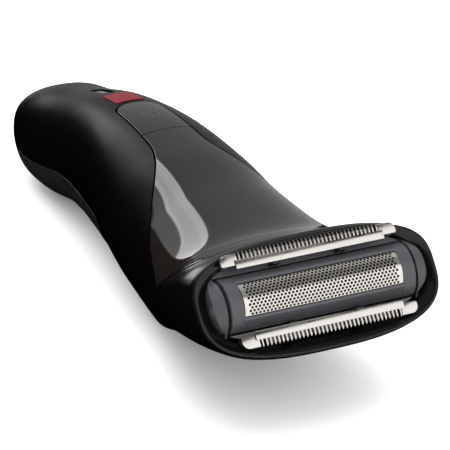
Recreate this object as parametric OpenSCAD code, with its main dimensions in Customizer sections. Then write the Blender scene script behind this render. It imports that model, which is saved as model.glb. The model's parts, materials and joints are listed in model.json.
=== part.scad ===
// Foil shaver for body hair: a curved, battery-driven handle with a wide oval
// head that carries one floating foil between two comb trimmers.
// Frame: X across the handle, +Y from the head to the tail, +Z up, lying on
// its belly and tail on z = 0. Sizes in millimetres.

/* [Handle] */
// Wall of the moulded shells
wall = 1.8; // [1.2:0.1:2.4]
// Visible gap between neighbouring shells
seam_gap = 0.25; // [0.15:0.05:0.5]
// Half width of the rounded tail end
tail_half_width = 15.2; // [13:0.1:17]
// Half angle of the front panel beside the button, in degrees from the top
panel_narrow = 18; // [14:1:24]
// Half angle of the front panel at the head
panel_wide = 86; // [70:1:88]

/* [Power button] */
// Distance that the button travels when it is pressed
button_travel = 0.5; // [0.3:0.1:0.8]
// Diameter of the plunger under the button
plunger_d = 4; // [3:0.5:5]

/* [Head] */
// How far the cutting face leans back from upright, in degrees
face_tilt = 38; // [30:1:45]
// Half width of the oval rim
rim_half_width = 29; // [27:0.5:31]
// Height of the oval rim above its middle
rim_half_height = 12.2; // [11.5:0.1:13]
// Height of the oval rim below its middle
rim_lower = 13.4; // [12:0.1:14]
// Length of the shaving foil
foil_len = 38; // [34:1:40]
// Radius of the arched foil
foil_r = 5; // [4.8:0.1:5.2]
// Distance of each trimmer's back edge from the middle of the face
trimmer_offset = 7.2; // [7:0.1:7.6]
// Number of teeth on each guard comb
comb_teeth = 36; // [24:1:40]
// Distance from one tooth to the next
tooth_pitch = 0.95; // [0.8:0.05:1]
// Travel of the moving blades to each side
stroke = 1; // [0.6:0.1:1]

/* [Drive] */
// Diameter of the motor can
motor_d = 16; // [12:1:16]
// Diameter of the motor shaft
shaft_d = 2; // [1.5:0.5:2.5]
// Diameter of the battery cell
cell_d = 14; // [10:1:14.5]
// Length of the battery cell
cell_len = 50; // [40:1:50]

/* [Charging inlet] */
// Diameter of the round charging socket
socket_bore = 3.6; // [3:0.1:4]
// Depth of the charging socket
socket_depth = 9; // [6:0.5:10]

/* [Hidden] */

$fn = 48;
eps = 0.05;

// Handle stations: [y, z, half width, half height, lean of the section]
stations = [
    [-52, 25.5, 28.8, 18.6, -42],
    [-42, 19.0, 23.0, 18.4, -28],
    [-25, 18.2, 20.3, 18.2, -10],
    [ -8, 20.1, 19.2, 18.3,   0],
    [ 12, 22.0, 16.9, 17.3,   4],
    [ 36, 20.5, 14.2, 16.1,  -4],
    [ 60, 15.2, 13.8, 15.1,  -8],
    [ 86, 13.8, tail_half_width, 11, -4]
];
last = len(stations) - 1;
tail_round = 24;        // length over which the tail closes
tail_t = 6.96;          // the shells stop here, round the charging socket
tail_lip = 0.8;         // their wall is this thin at the socket
skin_power = 2.4;       // squareness of the handle's section
rim_power = 3.2;        // squareness of the rim's upper half
lower_power = 2.8;      // and of its lower half

// Places along the handle, counted in stations
panel_t = 3.52;         // end of the front panel, start of the button
button_t = 4.5;         // end of the button
cover_t = 3.8;          // start of the rear cover
cover_angle = 12;       // rear cover edge, in degrees below the widest line
cover_proud = 0.3;      // the rear cover stands this far out of the shell
glue = 0.06;            // bond line under a piece laid on the shell

// The face frame: x across, y up along the face, z out of it
face_y = -78.1;
face_z = 33.5;
rim_depth = 2;          // the rim lies this far behind the foil's edges
rim_shift = -0.5;       // the rim's middle, along the face
head_gap = 0.3;         // gap between the head and the handle
head_wall = 1.6;

// Depths behind the face, for the stack of pieces in the head
frame_back = -6;        // back of the floating foil frame
bezel_top = -4;
bezel_back = -5.5;
end_top = -1.6;          // top of the blocks beside the foil frame
bridge_top = -8.2;
bridge_back = -9.2;
carrier_top = -11;
carrier_back = -12.4;
foil_float = 1.2;       // travel of the foil frame into the head
foil_axis = 1.3 - foil_r;     // depth of the foil's axis
foil_thick = 0.12;
end_r = 6.4;             // arched ends of the foil frame
end_axis = 1.2 - end_r;
frame_half = foil_len / 2 + 3.2;
spring_x = frame_half - 1.7;
blade_thick = 0.45;
blade_top = -0.35;
cutter_gap = 0.1;       // play between guard and moving blade
comb_half = comb_teeth * tooth_pitch / 2;
comb_tip = 3.4;         // from the back edge of a comb to the tips of its teeth
tab_half = comb_half + 4.1;

// Drive line, along Y
motor_y = -40;
motor_len = 26;
motor_z = 24.5;
cam_y = -56;
pin_y = -65;
pin_r = 0.75;

// Inner parts
tray_z = 8.4;
tray_thick = 1.4;
cell_y = 2;
cell_z = 17;
board_z = 27;
board_thick = 1.2;
board_y = [-8, 46];
board_half = 8.6;
post_at = [for (x = [-7.9, 7.9], y = [-4, 38]) [x, y]];
button_y = 12;
plunger_z = 33;
socket_z = 13.8;
lens_y = 43;
lens_z = 34.35;
lens_lean = -16;

// ---- the handle's skin as a formula ----

// Smooth curve through one column of the stations
function column(t, k) =
    let (i = min(floor(t), last - 1), u = t - i,
         b = stations[i][k], c = stations[i + 1][k],
         a = i > 0 ? stations[i - 1][k] : 2 * b - c,
         d = i < last - 1 ? stations[i + 2][k] : 2 * c - b)
    0.5 * (2 * b + (c - a) * u + (2 * a - 5 * b + 4 * c - d) * u * u
        + (3 * b - a - 3 * c + d) * u * u * u);

// How far the section has shrunk towards the tail, from 1 to 0
function closing(t) =
    let (e = min(1, max(0, (stations[last][0] - column(t, 0)) / tail_round)))
    sqrt(1 - pow(1 - e, 2.2));

// Rounded power of a cosine or sine, which squares the ellipse up
function squared(v, power) = sign(v) * pow(abs(v), 2 / power);

// Point on the skin: t along the handle, a round it (0 right, 90 top), off inwards
function skin(t, a, off = 0) =
    let (w = column(t, 2) * closing(t) - off, h = column(t, 3) * closing(t) - off,
         lean = column(t, 4), up = h * squared(sin(a), skin_power))
    [w * squared(cos(a), skin_power), column(t, 0) + up * sin(lean), column(t, 1) + up * cos(lean)];

// Wall of the casing, which thins out towards the charging socket
function wall_at(t) = min(wall, tail_lip + 12 * (tail_t - t));

function ease(u) = let (v = min(1, max(0, u))) v * v * (3 - 2 * v);

// Half angle of the front panel at t
function panel_angle(t) = panel_narrow + (panel_wide - panel_narrow) * ease((3.3 - t) / 2.3);

// A width in millimetres on the skin near the top, as an angle
function as_angle(mm, t) = mm / column(t, 3) * 57.3;

// ---- closed shells on a grid ----

// Shell of rows x cols cells between outer(i, j) and inner(i, j), with the
// cells where keep(i, j) is false left out; wrap joins the last column to the first
module grid_shell(rows, cols, outer, inner, keep, wrap = false) {
    n = wrap ? cols : cols + 1;
    half = (rows + 1) * n;
    function at(i, j, k) = k * half + i * n + (wrap ? (j + cols) % cols : j);
    function solid(i, j) =
        i >= 0 && i < rows && (wrap || (j >= 0 && j < cols)) && keep(i, wrap ? (j + cols) % cols : j);
    points = concat([for (i = [0:rows], j = [0:n - 1]) outer(i, j)],
                    [for (i = [0:rows], j = [0:n - 1]) inner(i, j)]);
    faces = [for (i = [0:rows - 1], j = [0:cols - 1]) if (solid(i, j)) each concat(
        [[at(i, j, 0), at(i, j + 1, 0), at(i + 1, j + 1, 0)],
         [at(i, j, 0), at(i + 1, j + 1, 0), at(i + 1, j, 0)],
         [at(i, j, 1), at(i + 1, j + 1, 1), at(i, j + 1, 1)],
         [at(i, j, 1), at(i + 1, j, 1), at(i + 1, j + 1, 1)]],
        solid(i - 1, j) ? [] : wall_faces(at(i, j + 1, 0), at(i, j, 0), at(i, j + 1, 1), at(i, j, 1)),
        solid(i + 1, j) ? [] : wall_faces(at(i + 1, j, 0), at(i + 1, j + 1, 0), at(i + 1, j, 1), at(i + 1, j + 1, 1)),
        solid(i, j - 1) ? [] : wall_faces(at(i, j, 0), at(i + 1, j, 0), at(i, j, 1), at(i + 1, j, 1)),
        solid(i, j + 1) ? [] : wall_faces(at(i + 1, j + 1, 0), at(i, j + 1, 0), at(i + 1, j + 1, 1), at(i, j + 1, 1)))];
    polyhedron(points = points, faces = faces, convexity = 10);
}
function wall_faces(p, q, r, s) = [[p, q, s], [p, s, r]];

// Patch of the skin from t0 to t1 and from angle lo(t) to hi(t), between two offsets
module skin_patch(t0, t1, lo, hi, rows, cols, out, inn, spread = 1) {
    function t_at(i) = t1 - (t1 - t0) * pow(1 - i / rows, spread);
    function a_at(i, j) = let (t = t_at(i)) lo(t) + (hi(t) - lo(t)) * j / cols;
    grid_shell(rows, cols, function(i, j) skin(t_at(i), a_at(i, j), out),
        function(i, j) skin(t_at(i), a_at(i, j), min(inn, wall_at(t_at(i)))), function(i, j) true);
}

// ---- flat outlines ----

function oval(w, h, power, steps = 64) =
    [for (k = [0:steps - 1]) let (a = 360 * k / steps) [w * squared(cos(a), power), h * squared(sin(a), power)]];

module box(x, y, z) translate([x[0], y[0], z[0]]) cube([x[1] - x[0], y[1] - y[0], z[1] - z[0]]);

// The frame of the slanted seam between head and handle
module neck_frame() translate([0, stations[0][0], stations[0][1]]) rotate([90 - stations[0][4], 0, 0]) children();

module face_frame() translate([0, face_y, face_z]) rotate([90 - face_tilt, 0, 0]) children();

// Cylinder along +Y from y, at height z
module bar_y(y, len, d, z) translate([0, y, z]) rotate([-90, 0, 0]) cylinder(d = d, h = len);

// Cylinder along X, centred, at height z in the face frame
module bar_x(r, len, z) translate([-len / 2, 0, z]) rotate([0, 90, 0]) cylinder(r = r, h = len);

// ---- casing ----

side_cols = 5;
top_cols = 8;
under_cols = 12;
shell_rows = 44;

// Rows lie closer together towards the tail, where the skin closes
row_spread = 1.25;
function row_t(i) = tail_t * (1 - pow(1 - i / shell_rows, row_spread));
function row_at(t) = round(shell_rows * (1 - pow(1 - t / tail_t, 1 / row_spread)));

module body_shell() {
    ring = top_cols + 2 * side_cols + under_cols;
    panel_row = row_at(button_t);
    cover_row = row_at(cover_t);
    function t_at(i) = i == panel_row ? button_t : i == cover_row ? cover_t : row_t(i);
    // columns: panel, then left side, underside and right side
    function a_at(i, j) =
        let (p = panel_angle(t_at(i)), left = 180 + cover_angle, right = 360 - cover_angle)
        j <= top_cols ? 90 - p + 2 * p * j / top_cols
        : j <= top_cols + side_cols ? 90 + p + (left - 90 - p) * (j - top_cols) / side_cols
        : j <= top_cols + side_cols + under_cols
            ? left + (right - left) * (j - top_cols - side_cols) / under_cols
        : right + (450 - p - right) * (j - top_cols - side_cols - under_cols) / side_cols;
    kept = function(i, j)
        j < top_cols ? i >= panel_row
        : (j < top_cols + side_cols || j >= top_cols + side_cols + under_cols || i < cover_row);
    color("#171516")
        difference() {
            grid_shell(shell_rows, ring, function(i, j) skin(t_at(i), a_at(i, j), 0),
                function(i, j) skin(t_at(i), a_at(i, j), wall_at(t_at(i))), kept, true);
            lens_frame() linear_extrude(8, center = true) lens_outline(1.6);
        }
}

module rear_cover() {
    slack = 1;
    color("#2c2826")
        skin_patch(cover_t + 0.015, tail_t, function(t) 180 + cover_angle + slack,
            function(t) 360 - cover_angle - slack, 24, 12, -cover_proud, wall, row_spread);
}

module front_panel() {
    color("#4a4441")
        skin_patch(0, panel_t - 0.02, function(t) 90 - panel_angle(t) + as_angle(seam_gap, t),
            function(t) 90 + panel_angle(t) - as_angle(seam_gap, t), 26, 14, 0, wall - 0.1);
}

module power_button() {
    button_gap = 0.4;
    color("#46403d")
        skin_patch(panel_t + 0.02, button_t - 0.03, function(t) 90 - panel_angle(t) + as_angle(button_gap, t),
            function(t) 90 + panel_angle(t) - as_angle(button_gap, t), 10, 8, 0, 1.4);
}

module button_plunger() {
    color("#2a2a2c") translate([0, button_y, plunger_z]) cylinder(d = plunger_d, h = 4.8);
}

module button_seal() {
    color("#202020") difference() {
        box([-6.5, 6.5], [4.5, 19.5], [34.2, 35.2]);
        translate([0, button_y, 34]) cylinder(d = plunger_d + 0.3, h = 2);
    }
}

module badge() {
    color("#a02c3c")
        skin_patch(button_t + 0.06, 4.98, function(t) 90 - as_angle(3.6, t), function(t) 90 + as_angle(3.6, t),
            6, 4, -0.25, -glue);
}

module lens_frame() translate([0, lens_y, lens_z]) rotate([lens_lean, 0, 0]) children();

module lens_outline(r) {
    square([2 * r, 8.4], center = true);
    for (s = [-1, 1]) translate([0, s * 4.2]) circle(r = r);
}

module indicator_lens() {
    color("#2a2c30") lens_frame() translate([0, 0, -2.4]) linear_extrude(2.1) lens_outline(1.5);
}

module indicator_led() {
    color("#d8e4e0") translate([0, lens_y, board_z + board_thick]) cylinder(d = 3, h = 2.6);
}

// ---- inside the handle ----

// Tray under the cell, cradles for the motor, and rails that carry the board
module chassis() {
    plate = 1.6;
    rail = [7.1, 8.7];
    rail_z = [22, 24.4];
    cell_end = cell_y + cell_len + 1.2;
    color("#3c3f42") difference() {
        union() {
            box([-6.6, 6.6], [-33, cell_end + plate], [tray_z, tray_z + tray_thick]);
            for (y = [-33, -19]) box([-12, 12], [y, y + 3], [tray_z, motor_z]);
            box([-rail[1], rail[1]], [-5, -5 + plate], [tray_z, rail_z[1]]);
            box([-6.6, 6.6], [-1.2, -1.2 + plate], [tray_z, cell_z + 4]);
            box([-6.6, 6.6], [cell_end, cell_end + plate], [tray_z, 14]);
            box([-rail[1], rail[1]], [cell_end, cell_end + plate], [13, rail_z[1]]);
            for (x = [rail, -rail]) box([min(x), max(x)], [-5, cell_end + plate], rail_z);
            for (p = post_at) translate([p[0], p[1], rail_z[0]]) cylinder(r = 1.5, h = board_z - rail_z[0]);
        }
        bar_y(-44, 30, motor_d + 0.2, motor_z);
        for (p = post_at) translate([p[0], p[1], board_z - 4.4]) cylinder(r = 0.8, h = 6);
    }
}

module motor() {
    color("#b8bcc0") difference() {
        union() {
            bar_y(motor_y, motor_len, motor_d, motor_z);
            bar_y(motor_y - 1.6, 2, 7, motor_z);
        }
        bar_y(motor_y - 3, 22, shaft_d + 0.1, motor_z);
    }
}

module motor_shaft() {
    color("#d0d2d4") bar_y(cam_y + 1, 34, shaft_d, motor_z);
}

module eccentric_cam() {
    color("#d9d4c4") difference() {
        union() {
            bar_y(cam_y, 5, 6, motor_z);
            bar_y(pin_y, cam_y - pin_y + 1, 2 * pin_r, motor_z + stroke);
        }
        bar_y(cam_y + 1, 6, shaft_d, motor_z);
    }
}

// Straight tube along Y from y back to front, with the spigot's section
module spigot(grow, back, front) {
    translate([0, back, motor_z]) rotate([90, 0, 0]) linear_extrude(back - front)
        polygon(oval(12 + grow, 6.4 + grow, skin_power));
}

module neck_plate() {
    color("#2e2e30") difference() {
        union() {
            neck_frame() translate([0, -4, -4]) linear_extrude(2) polygon(oval(19.2, 11.2, skin_power));
            spigot(0, -42, -57);
        }
        spigot(-1.3, -41, -44);
        spigot(-1.3, -46, -58);
        bar_y(-50, 10, 7.4, motor_z);
        bar_y(motor_y - 0.2, 20, motor_d + 0.4, motor_z);
    }
}

module neck_seal() {
    color("#151515") difference() {
        spigot(0.8, -55.1, -56.7);
        spigot(0.04, -54, -58);
    }
}

module drive_seal() {
    color("#151515") difference() {
        bar_y(-46, 2, 7.4, motor_z);
        bar_y(-47, 4, shaft_d + 0.1, motor_z);
    }
}

module battery_cell() {
    color("#3f6f57") union() {
        bar_y(cell_y, cell_len - 1, cell_d, cell_z);
        bar_y(cell_y + cell_len - 1, 1, 5, cell_z);
    }
}

module battery_contacts() {
    color("#d8dadc") {
        box([-4, 4], [cell_y - 1.2, cell_y - 0.4], [cell_z - 4, cell_z + 8]);
        box([-4, 4], [cell_y + cell_len + 0.1, cell_y + cell_len + 0.9], [cell_z - 4, cell_z + 8]);
    }
}

module circuit_board() {
    color("#2f6b45") difference() {
        box([-board_half, board_half], board_y, [board_z, board_z + board_thick]);
        for (p = post_at) translate([p[0], p[1], board_z - 1]) cylinder(r = 1, h = 4);
    }
}

module tact_switch() {
    base = board_z + board_thick;
    color("#202226") {
        box([-3, 3], [button_y - 3, button_y + 3], [base, base + 3.4]);
        translate([0, button_y, base + 3.4 - eps]) cylinder(d = 3, h = 0.8);
    }
}

module board_screws() {
    color("#c8cacc") for (p = post_at) translate([p[0], p[1], board_z + board_thick]) {
        cylinder(r = 1.5, h = 1);
        translate([0, 0, -4]) cylinder(r = 0.75, h = 4 + eps);
    }
}

module charging_socket() {
    mouth = 85.7;
    flange = 2.4;
    color("#1c1c1e") difference() {
        union() {
            bar_y(mouth - socket_depth - 2, socket_depth + 2.1 - flange, socket_bore + 2.4, socket_z);
            translate([0, mouth, socket_z]) rotate([90, 0, 0]) linear_extrude(flange)
                polygon(oval(3.4, 2.3, skin_power));
        }
        bar_y(mouth - socket_depth, socket_depth + 1, socket_bore, socket_z);
    }
}

// ---- head ----

// Point on the rim, in the handle's frame
function rim_point(a, grow, depth) =
    let (low = sin(a) < 0, power = low ? lower_power : rim_power,
         u = ((low ? rim_lower : rim_half_height) + grow) * squared(sin(a), power) + rim_shift)
    [(rim_half_width + grow) * squared(cos(a), power),
     face_y + u * sin(face_tilt) + depth * cos(face_tilt),
     face_z + u * cos(face_tilt) - depth * sin(face_tilt)];

// Point on the front edge of the handle, moved forward by the head gap
function neck_point(a, off) =
    let (p = skin(0, a, off), lean = stations[0][4])
    [p[0], p[1] - head_gap * cos(lean), p[2] + head_gap * sin(lean)];

module head_housing() {
    rows = 6;
    cols = 56;
    bulge = 0.8;
    function between(i, j, off, depth) =
        let (a = 360 * j / cols, u = i / rows, p = neck_point(a, off), q = rim_point(a, -off, depth),
             m = p + (q - p) * u, out = bulge * sin(180 * u))
        [m[0] + out * cos(a), m[1], m[2] + out * sin(a)];
    color("#121113") grid_shell(rows, cols, function(i, j) between(rows - i, j, 0, rim_depth),
        function(i, j) between(rows - i, j, head_wall, rim_depth + 0.4), function(i, j) true, true);
}

// Posts that carry the sweep to the two trimmers
post_x = 8;
post_y = trimmer_offset - 0.3;

module bezel_outline(back, front) {
    translate([0, 0.3, back]) linear_extrude(front - back)
        polygon(oval(rim_half_width - 2.6, rim_half_height - 2.7, rim_power));
}

module head_bezel() {
    color("#4e4e52") face_frame() difference() {
        union() {
            bezel_outline(bezel_back, bezel_top);
            intersection() {
                bezel_outline(bezel_back, end_top);
                union() for (s = [-1, 1])
                    translate([s * 26, 0, 0]) cube([2 * (26 - frame_half - 0.5), 40, 20], center = true);
            }
            for (x = [-1, 1], y = [-1, 1])
                translate([x * (tab_half - 1.4), y * (trimmer_offset + 0.4), bezel_top - 1])
                    cylinder(r = 0.8, h = blade_top - 0.25 - bezel_top);
        }
        box([-frame_half - 0.5, frame_half + 0.5], [-6.3, 6.3], [bezel_back - 1, bezel_top + 5]);
        for (x = [-post_x, post_x], y = [-post_y, post_y])
            box([x - stroke - 1.6, x + stroke + 1.6], [y - 0.8, y + 0.8], [bezel_back - 1, bezel_top + 1]);
    }
}

module head_carrier() {
    color("#36383b") face_frame() difference() {
        union() {
            translate([0, 1.2, carrier_back]) linear_extrude(carrier_top - carrier_back)
                polygon(oval(rim_half_width - 4.6, 7, rim_power));
            for (x = [-23.2, 23.2]) box([x - 0.8, x + 0.8], [-4, 4], [carrier_back, bezel_back - 0.02]);
        }
        box([-6.6, 6.6], [-20, 5.8], [carrier_back - 1, carrier_top + 1]);
        for (x = [-spring_x, spring_x])
            translate([x, 0, carrier_back - 1]) cylinder(r = 1, h = 4);
    }
}

module head_latches() {
    color("#36383b") for (s = [-1, 1]) {
        box([s > 0 ? 16.2 : -17.6, s > 0 ? 17.6 : -16.2], [-64, -51], [21, 27]);
    }
}

module cassette_springs() {
    color("#c9ccd0") face_frame() for (x = [-spring_x, spring_x])
        translate([x, 0, carrier_top]) difference() {
            cylinder(r = 1.6, h = -carrier_top + frame_back - foil_float - 0.2);
            translate([0, 0, -1]) cylinder(r = 1.1, h = 12);
        }
}

module foil_frame() {
    color("#55565a") face_frame() difference() {
        union() {
            translate([-frame_half, 0, 0]) rotate([90, 0, 90]) linear_extrude(2 * frame_half)
                polygon([[-6, frame_back], [6, frame_back], [6, -3], [3.6, -0.1], [-3.6, -0.1], [-6, -3]]);
            intersection() {
                bar_x(end_r, 2 * frame_half, end_axis);
                box([-frame_half, frame_half], [-6, 6], [frame_back, 4]);
            }
        }
        box([-foil_len / 2 - 0.05, foil_len / 2 + 0.05], [-8, 8], [-0.1, 4]);
        bar_x(foil_r + 0.08, foil_len + 0.1, foil_axis);
        box([-foil_len / 2 - 0.05, foil_len / 2 + 0.05], [-foil_r - 0.08, foil_r + 0.08], [frame_back - 1, foil_axis]);
    }
}

module foil() {
    color("#e8e4e0") face_frame() {
        difference() {
            bar_x(foil_r, foil_len, foil_axis);
            bar_x(foil_r - foil_thick, foil_len + 1, foil_axis);
            box([-foil_len, foil_len], [-8, 8], [foil_axis - 8, foil_axis]);
        }
        for (y = [-foil_r, foil_r - foil_thick])
            box([-foil_len / 2, foil_len / 2], [y, y + foil_thick], [frame_back + 0.5, foil_axis + eps]);
    }
}

module inner_cutter() {
    half = foil_len / 2 - stroke - 0.6;
    r = foil_r - foil_thick - 0.15;
    color("#c4c6ca") face_frame() difference() {
        union() {
            difference() {
                bar_x(r, 2 * half, foil_axis);
                bar_x(r - 1.2, 2 * half + 1, foil_axis);
                box([-half - 1, half + 1], [-8, 8], [foil_axis - 8, foil_axis]);
                for (x = [-half + 0.6 : 1.2 : half - 0.7])
                    box([x, x + 0.7], [-8, 8], [foil_axis + 1.2, foil_axis + 8]);
            }
            box([-half, half], [-r + 0.3, r - 0.3], [foil_axis - 0.8, foil_axis + 0.3]);
            box([-3, 3], [-2.6, 2.6], [frame_back - 0.6, foil_axis]);
        }
        translate([0, 0, frame_back - 1]) cylinder(r = 1.06, h = 3.6);
    }
}

module drive_bridge() {
    fork_back = -60;
    color("#e0dccf") difference() {
        union() {
            face_frame() {
                box([-10.5, 10.5], [-post_y - 0.35, post_y + 0.35], [bridge_back, bridge_top]);
                translate([0, 0, bridge_top - eps]) cylinder(r = 1, h = frame_back + 0.4 - bridge_top);
                for (x = [-post_x, post_x], y = [-post_y, post_y])
                    box([x - 1, x + 1], [y - 0.35, y + 0.35],
                        [bridge_top - eps, blade_top - 2 * blade_thick - cutter_gap]);
            }
            box([-5, 5], [-72, fork_back], [motor_z - 3.6, motor_z + 3.6]);
        }
        box([-3, 3], [pin_y - 1, fork_back + 1], [motor_z - 2.4, motor_z + 2.4]);
    }
}

// Toothed plate from its back edge to the tips of its teeth, which point to +y
function comb_outline(half, teeth, pitch, thick, back, root, tip) = concat(
    [[half, back], [half, root]],
    [for (k = [teeth - 1 : -1 : 0]) let (x = (k - (teeth - 1) / 2) * pitch)
        each [[x + thick / 2, root], [x + thick * 0.3, tip], [x - thick * 0.3, tip], [x - thick / 2, root]]],
    [[-half, root], [-half, back]]);

module trimmer_frame(side) face_frame() translate([0, side * trimmer_offset, 0]) mirror([0, side > 0 ? 0 : 1, 0]) children();

module comb() {
    translate([0, 0, blade_top - blade_thick]) linear_extrude(blade_thick)
        polygon(comb_outline(comb_half + 0.8, comb_teeth, tooth_pitch, 0.5, 0, 1.4, comb_tip));
    for (s = [-1, 1]) {
        x = s > 0 ? [comb_half + 0.4, tab_half - 1.2] : [-tab_half + 1.2, -comb_half - 0.4];
        box(x, [0, 2.4], [blade_top - 1.25, blade_top - blade_thick + eps]);
        translate([s * (tab_half - 1.2), 1.2, blade_top - 1.25]) cylinder(r = 1.2, h = 0.85);
    }
}

module cutter() {
    half = comb_half - stroke - 0.2;
    teeth = floor(2 * half / tooth_pitch);
    translate([0, 0, blade_top - 2 * blade_thick - cutter_gap]) linear_extrude(blade_thick)
        polygon(comb_outline(half, teeth, tooth_pitch, 0.5, -0.7, 1.5, comb_tip - 0.4));
}

module upper_comb() color("#e6e3df") trimmer_frame(1) comb();
module lower_comb() color("#e6e3df") trimmer_frame(-1) comb();
module upper_cutter() color("#b9b6b2") trimmer_frame(1) cutter();
module lower_cutter() color("#b9b6b2") trimmer_frame(-1) cutter();

body_shell();
rear_cover();
front_panel();
badge();
indicator_lens();
indicator_led();
power_button();
button_plunger();
button_seal();
chassis();
motor();
motor_shaft();
eccentric_cam();
neck_plate();
neck_seal();
drive_seal();
battery_cell();
battery_contacts();
circuit_board();
tact_switch();
board_screws();
charging_socket();
head_housing();
head_bezel();
head_carrier();
head_latches();
cassette_springs();
foil_frame();
foil();
inner_cutter();
drive_bridge();
upper_comb();
lower_comb();
upper_cutter();
lower_cutter();
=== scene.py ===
# Foil shaver for body hair: smooth shells, a perforated foil and toothed
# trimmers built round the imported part. Sizes below are in millimetres.
import json
import math
import bpy
from mathutils import Matrix, Vector


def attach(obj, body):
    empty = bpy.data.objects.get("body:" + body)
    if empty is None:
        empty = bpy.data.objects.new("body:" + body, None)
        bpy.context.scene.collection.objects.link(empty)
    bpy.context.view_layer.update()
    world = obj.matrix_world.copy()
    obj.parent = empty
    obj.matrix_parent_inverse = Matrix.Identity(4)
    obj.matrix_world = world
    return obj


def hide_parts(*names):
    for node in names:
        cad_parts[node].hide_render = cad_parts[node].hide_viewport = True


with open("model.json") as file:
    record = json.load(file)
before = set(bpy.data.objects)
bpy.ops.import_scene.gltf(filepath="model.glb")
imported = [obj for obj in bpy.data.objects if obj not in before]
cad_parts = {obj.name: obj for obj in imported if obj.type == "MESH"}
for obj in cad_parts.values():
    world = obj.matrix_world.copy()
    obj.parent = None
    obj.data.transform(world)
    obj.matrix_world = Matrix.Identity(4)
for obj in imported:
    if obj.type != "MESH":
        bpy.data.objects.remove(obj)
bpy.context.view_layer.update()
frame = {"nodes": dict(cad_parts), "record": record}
cadNodes = frame["nodes"]
mm = 0.001
print("frame loaded with", len(cadNodes), "nodes")


def addNode(tree, kind, settings=None, links=None):
    # a setting or a link names a socket by its name or number, anything else is a property
    node = tree.nodes.new(kind)
    names = {socket.name for socket in node.inputs}
    later = {}
    for key, value in (settings or {}).items():
        if isinstance(key, int) or key in names:
            later[key] = value
        else:
            setattr(node, key, value)
    for key, value in later.items():
        node.inputs[key].default_value = value
    for key, socket in (links or {}).items():
        tree.links.new(socket, node.inputs[key])
    return node


def colourOf(code):
    # sRGB hex to linear
    channels = [int(code[k:k + 2], 16) / 255 for k in (1, 3, 5)]
    return tuple(c / 12.92 if c <= 0.04045 else ((c + 0.055) / 1.055) ** 2.4 for c in channels) + (1.0,)


def meshPiece(name, points, faces, smoothAngle=35):
    # points in millimetres; only the points in use are kept
    used = sorted({k for face in faces for k in face})
    place = {old: new for new, old in enumerate(used)}
    mesh = bpy.data.meshes.new(name)
    corners = [Vector(points[k]) * mm for k in used]
    mesh.from_pydata(corners, [], [[place[k] for k in face] for face in faces])
    mesh.validate()
    mesh.shade_smooth()
    mesh.set_sharp_from_angle(angle=math.radians(smoothAngle))
    piece = bpy.data.objects.new(name, mesh)
    bpy.context.scene.collection.objects.link(piece)
    return piece


def applyModifiers(piece):
    graph = bpy.context.evaluated_depsgraph_get()
    result = bpy.data.meshes.new_from_object(piece.evaluated_get(graph), depsgraph=graph)
    piece.modifiers.clear()
    piece.data = result
    return piece


def roundEdges(piece, width, segments=3, angle=40):
    # a moulded or stamped edge is never sharp: this is what catches the light
    bevel = piece.modifiers.new("edges", "BEVEL")
    bevel.width = width * mm
    bevel.segments = segments
    bevel.limit_method = "ANGLE"
    bevel.angle_limit = math.radians(angle)
    bevel.harden_normals = True
    bevel.use_clamp_overlap = True
    return applyModifiers(piece)


def cutWith(piece, cutter):
    cut = piece.modifiers.new("cut", "BOOLEAN")
    cut.operation = "DIFFERENCE"
    cut.solver = "EXACT"
    cut.object = cutter
    applyModifiers(piece)
    bpy.data.objects.remove(cutter)
    return piece


def joined(name, pieces):
    # several closed solids of one finish become one piece
    points, faces = [], []
    for piece in pieces:
        start = len(points)
        points += [vertex.co / mm for vertex in piece.data.vertices]
        faces += [[start + k for k in polygon.vertices] for polygon in piece.data.polygons]
        bpy.data.objects.remove(piece)
    return meshPiece(name, points, faces)


def prism(name, outline, place, low, high):
    # outline in the plane of the first two arguments of place, from depth low to high
    count = len(outline)
    points = [place(x, y, low) for x, y in outline] + [place(x, y, high) for x, y in outline]
    faces = [list(range(count))[::-1], list(range(count, 2 * count))]
    faces += [[k, (k + 1) % count, count + (k + 1) % count, count + k] for k in range(count)]
    return meshPiece(name, points, faces)


def dress(piece, material, body, slot, *replaced):
    piece.data.materials.clear()
    piece.data.materials.append(material)
    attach(piece, body)
    if replaced:
        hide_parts(*replaced)
    return piece


# the handle's skin follows the same rule as the part's
handle = {
    # y, z, half width, half height, lean of the section in degrees
    "stations": [(-52, 25.5, 28.8, 18.6, -42), (-42, 19, 23, 18.4, -28), (-25, 18.2, 20.3, 18.2, -10),
                 (-8, 20.1, 19.2, 18.3, 0), (12, 22, 16.9, 17.3, 4), (36, 20.5, 14.2, 16.1, -4),
                 (60, 15.2, 13.8, 15.1, -8), (86, 13.8, 15.2, 11, -4)],
    "tailRound": 24,        # length over which the tail closes
    "tailEnd": 6.96,        # counted in stations, as every t below
    "squareness": 2.4,
    "wall": 1.8,
    "lip": 0.8,             # wall at the charging socket
    "lipGrowth": 12,        # how fast the wall thickens from there
    "rowSpread": 1.25,
}
# half angle of the panel from the top: narrow beside the button, wide at the head
panel = {"narrow": 18, "wide": 86, "flareStart": 3.3, "flareLength": 2.3}


def column(t, k):
    stations = handle["stations"]
    last = len(stations) - 1
    i = min(int(math.floor(t)), last - 1)
    u = t - i
    b, c = stations[i][k], stations[i + 1][k]
    a = stations[i - 1][k] if i > 0 else 2 * b - c
    d = stations[i + 2][k] if i < last - 1 else 2 * c - b
    return 0.5 * (2 * b + (c - a) * u + (2 * a - 5 * b + 4 * c - d) * u * u
                  + (3 * b - a - 3 * c + d) * u ** 3)


def closing(t):
    e = min(1, max(0, (handle["stations"][-1][0] - column(t, 0)) / handle["tailRound"]))
    return math.sqrt(max(0, 1 - (1 - e) ** 2.2))


def squared(v, power):
    return math.copysign(abs(v) ** (2 / power), v)


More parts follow.
